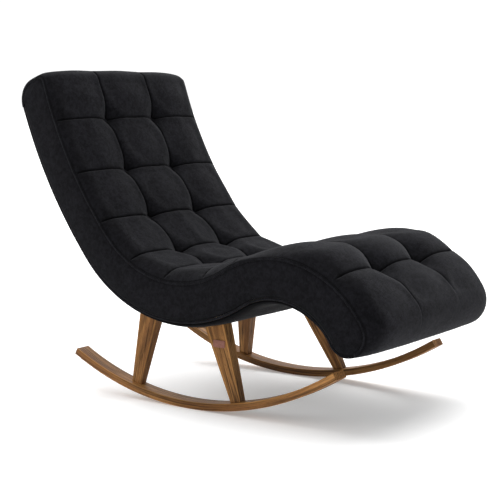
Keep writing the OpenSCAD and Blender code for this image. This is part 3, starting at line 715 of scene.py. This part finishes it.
# %% The tag's place, from the corners of the fixed model's plain tag
corners = np.unique(np.round([v.co for v in nodes["leg_tag"].data.vertices], 6), axis=0)
first = corners[0]
edges = corners[1:] - first
edges = edges[np.argsort(np.linalg.norm(edges, axis=1))]
thick, wide, long = edges[0], edges[1], edges[3]
if thick[0] > 0:
    first, thick = first + thick, -thick
TAG_L, TAG_W, TAG_T = (float(np.linalg.norm(e)) for e in (long, wide, thick))
TAG_ROUND = 0.0028
TAG_ROLL = 0.0012
TAG_LINE = 0.0024
print("tag", round(TAG_L, 4), "by", round(TAG_W, 4), "by", round(TAG_T, 4), "m")


# %% Build the tag
def tag_points():
    """Grid over the tag: a rectangle whose corner points are pulled in to circles. Its face has rolled
    edges, a pressed line inside them and a faint ripple, and its back is flat."""
    u, v = np.meshgrid(np.linspace(-1, 1, 77), np.linspace(-1, 1, 41))
    a, b = u * TAG_L / 2, v * TAG_W / 2
    over_a = np.maximum(np.abs(a) - (TAG_L / 2 - TAG_ROUND), 0)
    over_b = np.maximum(np.abs(b) - (TAG_W / 2 - TAG_ROUND), 0)
    pull = np.maximum(over_a, over_b) / np.maximum(np.hypot(over_a, over_b), 1e-9)
    a = np.sign(a) * (np.abs(a) - over_a * (1 - pull))
    b = np.sign(b) * (np.abs(b) - over_b * (1 - pull))
    depth = np.minimum((1 - np.abs(u)) * TAG_L, (1 - np.abs(v)) * TAG_W) / 2
    height = TAG_T * (0.45 + 0.55 * np.sqrt(1 - (1 - np.clip(depth / TAG_ROLL, 0, 1)) ** 2))
    height = height - 0.0004 * bell(depth, TAG_LINE, 0.0004)
    height = height + 0.00012 * np.sin(a * 900 + 2 * np.sin(b * 700)) * np.clip(depth / 0.004, 0, 1)
    middle = first + (long + wide) / 2
    place = middle + a[..., None] * long / TAG_L + b[..., None] * wide / TAG_W
    face = place + height[..., None] * thick / TAG_T
    return np.hstack([face, place[:, ::-1]])


tag_grid = tag_points()
tag = new_object("leather_tag", tag_grid, shell_faces(*tag_grid.shape[:2]))
face_outwards(tag)
settle(tag, "tag_leather", "leg_tag")

# %% [markdown]
# ## Shader maths as plain sums
# A material is a small network of nodes. Writing it node by node hides the idea, so a socket is wrapped
# in a class that understands +, -, * and /. One method makes every other kind of node. A recipe then
# reads like the sentence that describes the finish.


# %% A socket that can be used in sums
class Wire:
    """An output socket; each sum with it adds a Math node."""

    def __init__(self, network, socket):
        self.network = network
        self.socket = socket

    def __add__(self, other):
        return self.network.maths("ADD", self, other)

    def __sub__(self, other):
        return self.network.maths("SUBTRACT", self, other)

    def __rsub__(self, other):
        return self.network.maths("SUBTRACT", other, self)

    def __mul__(self, other):
        return self.network.maths("MULTIPLY", self, other)

    __rmul__ = __mul__

    def __truediv__(self, other):
        return self.network.maths("DIVIDE", self, other)

    def __pow__(self, other):
        return self.network.maths("POWER", self, other)


# %% A network that is made step by step
class Network:
    """The nodes of one tree. Its methods add a node each and return wires from it."""

    def __init__(self, tree):
        self.tree = tree

    def put(self, socket, value):
        """Links a wire to a socket, or sets the socket to a plain value."""
        if isinstance(value, Wire):
            self.tree.links.new(value.socket, socket)
        else:
            socket.default_value = value

    def add(self, kind, values=(), output=0, **settings):
        """Makes a node, sets its settings first and then its sockets by number or by name."""
        node = self.tree.nodes.new("ShaderNode" + kind)
        for key, value in settings.items():
            setattr(node, key, value)
        pairs = values.items() if isinstance(values, dict) else enumerate(values)
        for key, value in pairs:
            self.put(node.inputs[key], value)
        return Wire(self, node.outputs[output])

    def place(self):
        """Object coordinates, in metres."""
        return self.add("TexCoord", output="Object")

    def noise(self, vector, scale, detail=3.0, rough=0.55, warp=0.0):
        """Soft random pattern from 0 to 1."""
        return self.add("TexNoise", {"Vector": vector, "Scale": scale, "Detail": detail,
                                     "Roughness": rough, "Distortion": warp})

    def span(self, value, low, high, out_low=0.0, out_high=1.0):
        """Maps low..high smoothly to out_low..out_high and holds the ends."""
        return self.add("MapRange", [value, low, high, out_low, out_high], interpolation_type="SMOOTHSTEP")

    def mix(self, share, first, second):
        """Colour between two, by a share."""
        first, second = (c if isinstance(c, Wire) else (*c, 1.0) for c in (first, second))
        return self.add("Mix", {0: share, 6: first, 7: second}, output=2, data_type="RGBA")

    def maths(self, operation, *values):
        """One Math node with the named operation."""
        return self.add("Math", values, operation=operation)

    def vector(self, x, y, z):
        """Vector from three wires or numbers."""
        return self.add("CombineXYZ", [x, y, z])

    def axes(self, at):
        """X, Y and Z of a vector."""
        return [Wire(self, o) for o in self.add("SeparateXYZ", [at]).socket.node.outputs]

    def scaled(self, at, *scale, turned=(0, 0, 0)):
        """The vector turned, with its axes scaled."""
        return self.add("Mapping", {"Vector": at, "Scale": scale, "Rotation": turned})


# %% A material that is made step by step
class Recipe(Network):
    """One material, built around a Principled shader."""

    def __init__(self, name):
        self.material = bpy.data.materials.new(name)
        self.material.use_nodes = True
        super().__init__(self.material.node_tree)
        self.tree.nodes.clear()
        self.shader = self.tree.nodes.new("ShaderNodeBsdfPrincipled")
        output = self.tree.nodes.new("ShaderNodeOutputMaterial")
        self.tree.links.new(self.shader.outputs[0], output.inputs["Surface"])

    def finish(self, colour, roughness, bump=None, height=0.001, strength=1.0, **fixed):
        """Connects the finish to the shader; fixed values go straight on its sockets."""
        self.put(self.shader.inputs["Base Color"], colour)
        self.put(self.shader.inputs["Roughness"], roughness)
        if bump is not None:
            bent = self.add("Bump", {"Strength": strength, "Distance": height, "Height": bump})
            self.put(self.shader.inputs["Normal"], bent)
        for name, value in fixed.items():
            self.put(self.shader.inputs[name.replace("_", " ")], value)
        return self.material


def srgb(r, g, b):
    """Linear colour from the 0 to 255 values read on a screen."""
    c = np.array([r, g, b]) / 255
    return tuple(np.where(c <= 0.04045, c / 12.92, ((c + 0.055) / 1.055) ** 2.4).tolist())


def toned(tone, *colour):
    """A screen colour in linear values, times a tone."""
    return tuple(tone * c for c in srgb(*colour))


print("mid grey on a screen is", round(srgb(128, 128, 128)[0], 3), "in linear light")

# %% [markdown]
# ## Charcoal velvet
# The cover is a short brushed pile, almost black. Its nap lies in soft patches a few millimetres wide, so
# it is mottled rather than smooth, and light catches it at a grazing angle. Sheen gives that edge light.
# Each piece stores a painted shade value: it darkens the cloth where it dives into a seam and where
# shade falls. The thread is darker still, so a line of stitches reads as a fine dotted line.


# %% Velvet
def velvet(name, tone=1.0, lift=1.0):
    """Near-black pile: broad and fine noises for the nap, a finer one for the bump, painted shade in creases.
    """
    r = Recipe(name)
    at = r.place()
    broad = r.noise(at, 18.0, 3.0, 0.55)
    nap = r.noise(at, 95.0, 5.0, 0.62, 0.5)
    streak = r.noise(r.scaled(at, 1.0, 2.4, 0.8, turned=(0.4, 0.3, 0.2)), 260.0, 4.0, 0.65)
    pile = r.noise(at, 1500.0, 2.0, 0.6)
    painted_shade = r.add("Attribute", output="Fac", attribute_name="painted_shade")
    shade = (r.span(broad, 0.32, 0.68, 0.0, 0.22) + r.span(nap, 0.36, 0.64, 0.0, 0.46)
             + r.span(streak, 0.36, 0.64, 0.0, 0.34) + pile * 0.06)
    cloth = r.mix(shade, toned(tone, 6, 6, 7), toned(tone, 28, 28, 32))
    shaded_cloth = r.mix(painted_shade, cloth, toned(tone, 3, 3, 4))
    bump = nap * 0.45 + streak * 0.35 + pile * 0.20
    return r.finish(shaded_cloth, r.span(nap, 0.3, 0.7, 0.95, 0.85), bump, 0.0011, 0.9,
                    Sheen_Weight=0.07 * lift, Sheen_Roughness=0.45, Sheen_Tint=(0.90, 0.91, 0.97, 1.0),
                    Specular_IOR_Level=0.05)


cover_velvet = velvet("charcoal_velvet")
# The panel's copy is darkened by a tenth as painted shade for the cloth under the seat, and has half the
# sheen.
shaded_under_velvet = velvet("charcoal_velvet_under_shaded", 0.90, 0.5)
thread = Recipe("dark_thread")
twist = thread.noise(thread.place(), 2500.0, 2.0)
thread_finish = thread.finish(thread.mix(twist, srgb(6, 6, 7), srgb(18, 18, 20)), 0.8, twist, 0.0002,
                              Specular_IOR_Level=0.08)
print("nodes in the velvet:", len(cover_velvet.node_tree.nodes))

# %% [markdown]
# ## Walnut that follows the bend
# A rocker is bent along its grain, so the figure has to run round the curve. The material turns each
# point into three lengths: across the timber, along it and through it. On a rocker, along is an angle
# times the radius. Growth rings come from a distance to a far centre, bent by a slow noise, and fibres
# and pores are noises stretched some fifty times along the grain. The long edges are made lighter, and
# the flanks are darkened by painted shade.


# %% Walnut
def walnut(name, measure, seed, tone=1.0):
    """Straight-grained wood; measure gives wires across, along and through the timber, one that is high
    on its edges, which are made lighter, and one that is high on its flanks, which get painted shade."""
    r = Recipe(name)
    across, length, through, edge, flank_shade = measure(r, r.place())
    slow = r.noise(r.vector(across * 10.0 + seed, length * 1.6, through * 10.0), 1.0, 2.0, 0.5)
    ring_a = across + seed * 0.013 + 0.047
    ring_b = through + 0.024
    radius = r.maths("SQRT", ring_a * ring_a + ring_b * ring_b)
    rings = r.maths("SINE", radius * 980.0 + slow * 9.0) * 0.5 + 0.5
    streak = r.noise(r.vector(across * 240.0, length * 4.0 + seed, through * 240.0), 1.0, 4.0, 0.62, 0.2)
    fibre = r.noise(r.vector(across * 900.0, length * 16.0 + seed, through * 900.0), 1.0, 3.0, 0.6)
    pores = r.noise(r.vector(across * 1500.0 + 7.0, length * 46.0, through * 1500.0), 1.0, 1.0, 0.5)
    pore = r.span(pores, 0.60, 0.72)
    broad = r.noise(r.vector(across * 30.0, length * 3.0 + seed, through * 30.0), 1.0, 2.0, 0.5)
    dark = toned(tone, 50, 31, 13)
    body = r.mix(r.span(broad, 0.32, 0.68), toned(tone, 126, 84, 45), toned(tone, 172, 124, 72))
    ringed = r.mix(rings ** 2.0 * 0.35, body, dark)
    streaked = r.mix(r.span(streak, 0.46, 0.66, 0.0, 0.85), ringed, dark)
    fibred = r.mix(r.span(fibre, 0.38, 0.72, 0.0, 0.45), streaked, dark)
    porous = r.mix(pore * 0.55, fibred, srgb(40, 22, 10))
    # The long edges are made lighter.
    lightened = r.mix(edge * 0.55, porous, toned(tone, 198, 144, 78))
    # Painted shade: the flanks are darkened towards a dark brown.
    final = r.mix(flank_shade * 0.35, lightened, srgb(34, 19, 5))
    bump = fibre * 0.4 + streak * 0.3 - pore * 0.6 + rings * 0.15
    return r.finish(final, r.span(fibre, 0.3, 0.75, 0.40, 0.58), bump, 0.00035, 0.5,
                    Coat_Weight=0.02, Coat_Roughness=0.35, Specular_IOR_Level=0.12)


# %% How a rocker, a leg and a bearer are measured
def near_edge(r, across, through, half_across, half_through):
    """One along the timber's long edges, where both shares of the half width are high, and both shares."""
    shares = [r.span(r.maths("ABSOLUTE", wire) / half, 0.80, 1.0)
              for wire, half in ((across, half_across), (through, half_through))]
    return shares[0] * shares[1], shares


ROCKER_X = 0.2464
ROCKER_HALF = 0.0235
SOLE_R = 0.880
ROCKER_T = 0.020
LEG_X = 0.2424
LEG_SPLAY = 0.150


def rocker_measure(r, at):
    """Across is x, along is the angle round the bend times the radius, through is the depth. The painted
    shade falls on the inner side."""
    x, y, z = r.axes(at)
    dy = y - CONTACT_Y
    dz = SOLE_R - z
    angle = r.maths("ARCTAN2", dy, dz)
    depth = SOLE_R - r.maths("SQRT", dy * dy + dz * dz)
    off = r.maths("ABSOLUTE", x) - ROCKER_X
    edge, shares = near_edge(r, off, depth - ROCKER_T / 2, ROCKER_HALF, ROCKER_T / 2)
    return x, angle * SOLE_R, depth, edge, r.span(off / ROCKER_HALF, -0.90, -1.0)


def leg_measure(foot_y, lean, foot_z=0.035):
    """Along is the rise; across and through are the distances from the leg's sloping middle line, and the
    half widths grow with the rise as the leg does. The painted shade falls on the front and back flanks."""
    def measure(r, at):
        x, y, z = r.axes(at)
        rise = z - foot_z
        across = r.maths("ABSOLUTE", x) - LEG_X + rise * LEG_SPLAY
        through = y - foot_y - rise * lean
        edge, shares = near_edge(r, across, through, rise * 0.030 + 0.0110, rise * 0.078 + 0.0155)
        return across + x * 0.02, rise * 1.08, through, edge, r.span(shares[1], 0.90, 1.0)
    return measure


def beam_measure(r, at):
    """A bearer's grain runs across the chair; its edges are not lightened and it has no painted shade."""
    x, y, z = r.axes(at)
    return y, x, z, 0.0 * x, 0.0 * x


rocker_walnut = walnut("walnut_rocker", rocker_measure, 0.0, 1.25)
leg_front_walnut = walnut("walnut_front_leg", leg_measure(-0.1354, 0.4436), 3.0, 1.08)
leg_rear_walnut = walnut("walnut_rear_leg", leg_measure(0.2046, -0.1543), 5.0, 1.08)
beam_walnut = walnut("walnut_bearer", beam_measure, 2.0, 0.8)
print("nodes in the rocker's walnut:", len(rocker_walnut.node_tree.nodes))

# %% [markdown]
# ## What is out of sight
# The inner timber, foam, webbing and screws hardly show, but someone will turn the chair over. Each gets
# a modest recipe of its own: pale timber with faint rings, foam with open cells, a woven band, and zinc.
# The tag's leather is small but in full view.


# %% Hidden finishes
def pale_timber():
    """Light wood with faint, wide rings along the chair."""
    r = Recipe("frame_timber")
    grain = r.noise(r.scaled(r.place(), 0.12, 1.0, 1.0), 140.0, 4.0, 0.6)
    return r.finish(r.mix(grain, srgb(178, 148, 108), srgb(214, 190, 150)), 0.7, grain, 0.0006, 0.4)


def open_foam():
    """Cream foam with small cells."""
    r = Recipe("foam")
    cells = r.add("TexVoronoi", {"Vector": r.place(), "Scale": 700.0})
    return r.finish(r.mix(cells, srgb(196, 184, 150), srgb(232, 224, 196)), 0.95, cells, 0.0012, 0.6)


def woven_band():
    """Dark webbing with a plain weave: the product of two crossed sine waves."""
    r = Recipe("webbing")
    x, y, z = r.axes(r.place())
    weave = r.maths("SINE", x * 2600.0) * r.maths("SINE", (y + z) * 2600.0) * 0.5 + 0.5
    return r.finish(r.mix(weave, srgb(44, 40, 36), srgb(92, 84, 76)), 0.85, weave, 0.0008, 0.6)


def zinc():
    """Plated steel with faint drawing lines."""
    r = Recipe("zinc_plate")
    lines = r.noise(r.scaled(r.place(), 1.0, 1.0, 0.05), 900.0, 2.0)
    return r.finish(r.mix(lines, srgb(168, 170, 172), srgb(204, 206, 210)),
                    r.span(lines, 0.3, 0.7, 0.32, 0.5), lines, 0.0002, 0.3, Metallic=1.0)


def worn_leather():
    """Dusty red-brown leather: fine creased grain and a slightly paler, rubbed surface."""
    r = Recipe("tag_leather")
    at = r.place()
    grain = r.add("TexVoronoi", {"Vector": at, "Scale": 1400.0}, feature="DISTANCE_TO_EDGE")
    dust = r.noise(at, 420.0, 4.0, 0.6)
    base = r.mix(r.span(dust, 0.25, 0.75), srgb(128, 78, 64), srgb(152, 104, 90))
    creased = r.mix(r.span(grain, 0.0, 0.10, 0.35, 0.0), base, srgb(92, 52, 42))
    return r.finish(creased, 0.68, r.span(grain, 0.0, 0.2) + dust * 0.3, 0.00025, 0.6)


pale_wood, foam, band_weave = pale_timber(), open_foam(), woven_band()
zinc_plate, tag_leather = zinc(), worn_leather()
print("finishes so far:", len(bpy.data.materials))

# %% [markdown]
# ## Giving out the finishes
# Each fixed node keeps its shape and only gets a material. Timber edges that the model draws sharp are
# eased by a small bevel, after a weld that joins the loose triangles.


# %% Assign materials
def dress(piece, material):
    """Replaces a piece's materials by one."""
    piece.data.materials.clear()
    piece.data.materials.append(material)


def ease_edges(piece, width):
    """Joins the loose triangles and rounds the sharp edges by a small amount."""
    weld = piece.modifiers.new("weld", "WELD")
    weld.merge_threshold = 0.00001
    bevel = piece.modifiers.new("eased", "BEVEL")
    bevel.width = width
    bevel.segments = 3
    bevel.limit_method = "ANGLE"
    bevel.angle_limit = math.radians(40)


EASED = 0.0014
finishes = [
    ("rocker_", rocker_walnut), ("leg_front_", leg_front_walnut), ("leg_rear_", leg_rear_walnut),
    ("bearer_", beam_walnut), ("rib_left", pale_wood), ("rib_right", pale_wood), ("block_", pale_wood),
    ("_rail", pale_wood), ("webbing", band_weave), ("foam_core", foam), ("calf_filling", foam),
    ("_roll", foam), ("leg_studs", zinc_plate), ("_screws", zinc_plate),
]
for name, node in nodes.items():
    for part, material in finishes:
        if part in name:
            dress(node, material)
    if name.startswith(("rocker_", "leg_front_", "leg_rear_", "bearer_")):
        ease_edges(node, EASED)
for piece in bpy.data.objects:
    if piece == tag:
        dress(piece, tag_leather)
    elif piece.type == "MESH" and piece.get("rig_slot") == "cover":
        dress(piece, thread_finish if "stitches" in piece.name else cover_velvet)
dress(panel, shaded_under_velvet)

# %% [markdown]
# ## The studio
# The chair stands on a white floor that reaches to the horizon, in a white room. A wide light from high
# behind the chair, 70 degrees across, draws its edges and keeps the shadow under it soft. A small square
# light fills in from the sitter's right. The room is bright behind the chair and dimmer elsewhere, so the
# cloth stays dark, and the floor glows a little, which lifts its shadow as a big studio's walls would.

# %% Floor
FLOOR = 150.0
floor = new_object("floor", FLOOR * np.array([(-1, -1, 0), (1, -1, 0), (1, 1, 0), (-1, 1, 0)], float),
                   [np.array([[0, 1, 2, 3]])])
floor_recipe = Recipe("white_floor")
grit = floor_recipe.noise(floor_recipe.place(), 60.0, 2.0)
# The floor's glow is painted light: it lifts the shadow under the chair and lights the chair from below.
floor_finish = floor_recipe.finish(floor_recipe.mix(grit, (0.90, 0.90, 0.90), (0.93, 0.93, 0.93)), 0.9,
                                   Emission_Color=(1.0, 1.0, 1.0, 1.0), Emission_Strength=0.22)
dress(floor, floor_finish)
print("the floor reaches", FLOOR, "m each way")


# %% Lights
def hang(name, kind, power, turned, place=(0, 0, 0)):
    """Hangs a lamp of a kind at a place, turned by three angles, and returns its settings."""
    data = bpy.data.lights.new(name, kind)
    data.energy = power
    lamp = bpy.data.objects.new(name, data)
    lamp.location = place
    lamp.rotation_euler = turned
    scene.collection.objects.link(lamp)
    return data


FILL_AT = np.array([-2.6, -0.6, 2.4])
aim = np.array([0, 0, 0.4]) - FILL_AT
fill_turn = (math.acos(-aim[2] / np.linalg.norm(aim)), 0, math.atan2(aim[1], aim[0]) - quarter)
fill = hang("fill", "AREA", 12, fill_turn, FILL_AT)
fill.size = 1.8
high_sky = hang("high_sky", "SUN", 3.2, (math.radians(-14), math.radians(17), 0))
high_sky.angle = math.radians(70)
print("lights:", len(bpy.data.lights))

# %% White surroundings: their strength rises smoothly from DIM to BRIGHT towards the back of the view
DIM = 0.52
BRIGHT = 1.08
BACKWARDS = (0.80, 0.60, 0.0)
world = bpy.data.worlds.new("white_room")
world.use_nodes = True
sky = Network(world.node_tree)
facing = sky.add("VectorMath", [sky.add("TexCoord", output="Generated"), BACKWARDS], output="Value",
                 operation="DOT_PRODUCT")
background = world.node_tree.nodes["Background"].inputs
sky.put(background["Strength"], sky.span(facing, 0.2, 0.85, DIM, BRIGHT))
sky.put(background["Color"], (1.0, 1.0, 1.0, 1.0))
scene.world = world
scene.view_settings.view_transform = "Standard"
print("the room's strength runs from", DIM, "to", BRIGHT)

# %% [markdown]
# ## The last update
# The last call brings the whole scene up to date.

# %% Last update
bpy.context.view_layer.update()
